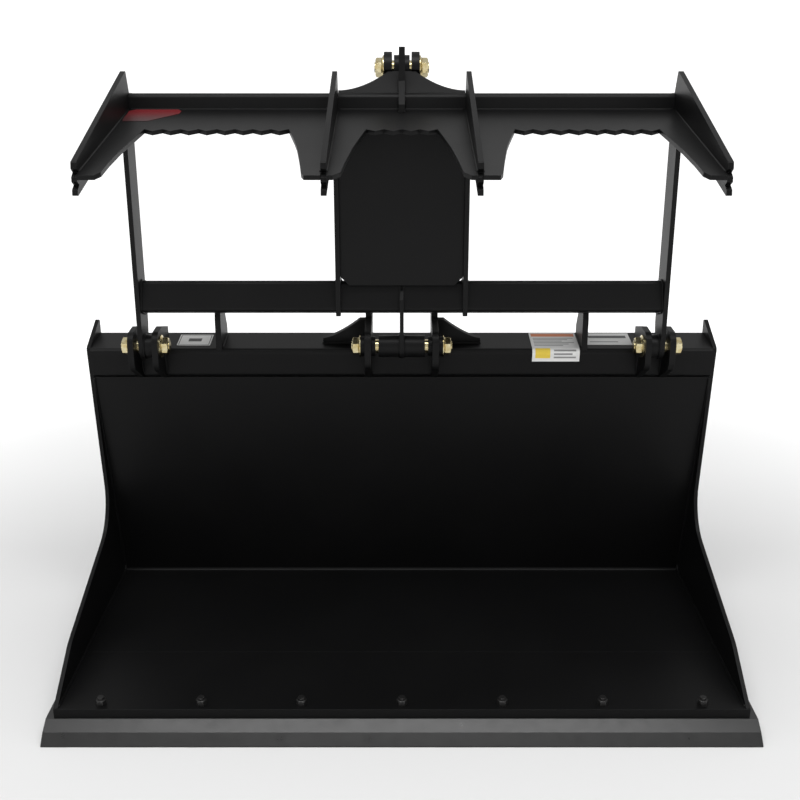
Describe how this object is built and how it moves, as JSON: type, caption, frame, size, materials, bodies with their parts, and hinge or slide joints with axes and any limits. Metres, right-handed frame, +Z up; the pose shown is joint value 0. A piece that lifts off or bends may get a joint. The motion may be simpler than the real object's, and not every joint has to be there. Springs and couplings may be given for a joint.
{
  "type": "grapple bucket",
  "caption": "Mini skid steer bucket with a bolt-on edge and a hinged, serrated top clamp closed by a hydraulic cylinder.",
  "frame": {"origin": "on the ground under the front of the base edge, at mid-width", "axes": "X across the bucket, -Y out of the open front, +Z up"},
  "size_m": [1.078, 0.5181, 0.979],
  "materials": {
    "black_paint": "satin black powder coat",
    "grey_edge": "satin grey paint, wearing to bare steel",
    "gold_zinc": "yellow zinc plate",
    "dark_bolt": "black oxide",
    "chrome_rod": "polished hard chrome",
    "bare_steel": "turned steel",
    "label_white": "printed vinyl label",
    "label_red": "printed vinyl label"
  },
  "bodies": {
    "bucket": {"wrapper": "black_paint", "side_plate_left": "black_paint", "side_plate_right": "black_paint", "base_edge": "black_paint", "cutting_edge": "grey_edge", "plow_bolts": "dark_bolt", "plow_nuts": "dark_bolt", "top_rail": "black_paint", "rear_ribs": "black_paint", "heel_runners": "black_paint", "stop_plates": "black_paint", "side_ears_outer": "black_paint", "side_ears_inner": "black_paint", "centre_ears": "black_paint", "ear_bosses": "black_paint", "ear_gussets": "black_paint", "side_hinge_pins": "gold_zinc", "centre_hinge_pin": "gold_zinc", "side_hinge_nuts": "gold_zinc", "centre_hinge_nuts": "gold_zinc", "base_pin_shaft": "gold_zinc", "base_pin_nuts": "gold_zinc", "attach_plate": "black_paint", "attach_hook": "black_paint", "latch_lip": "black_paint", "rail_labels": "label_white"},
    "grapple": {"outer_tine_left": "black_paint", "outer_tine_right": "black_paint", "inner_tine_left": "black_paint", "inner_tine_right": "black_paint", "serrated_wing_left": "black_paint", "serrated_wing_right": "black_paint", "serrated_centre": "black_paint", "fan_plate": "black_paint", "guard_plate": "black_paint", "top_tube": "black_paint", "crossbar": "black_paint", "centre_rib": "black_paint", "centre_pivot_tubes": "black_paint", "side_pivot_tubes": "black_paint", "upper_ears": "black_paint", "centre_fin": "black_paint", "rod_pin_shaft": "gold_zinc", "rod_pin_nuts": "gold_zinc", "wing_label": "label_red"},
    "rod": {"cylinder_rod": "chrome_rod", "rod_eye": "black_paint", "piston": "bare_steel"},
    "barrel": {"barrel_tube": "black_paint", "barrel_cap": "black_paint", "base_eye": "black_paint", "gland": "black_paint", "port_bosses": "black_paint"}
  },
  "joints": [
    {"name": "grapple_pivot", "type": "hinge", "parent": "bucket", "child": "grapple", "pos_m": [0, 0.322, 0.5145], "axis": [1, 0, 0], "range_deg": [0, 95]},
    {"name": "rod_swing", "type": "hinge", "parent": "grapple", "child": "rod", "pos_m": [0, 0.412, 0.9465], "axis": [1, 0, 0], "range_deg": [-4, 0]},
    {"name": "barrel_slide", "type": "slide", "parent": "rod", "child": "barrel", "axis": [0, 0, -1], "range_m": [0, 0.164]}
  ],
  "couplings": [
    {"joint": "rod_swing", "follows": "grapple_pivot", "ratio": -0.04065},
    {"joint": "barrel_slide", "follows": "grapple_pivot", "m_per_rad": 0.09865}
  ]
}
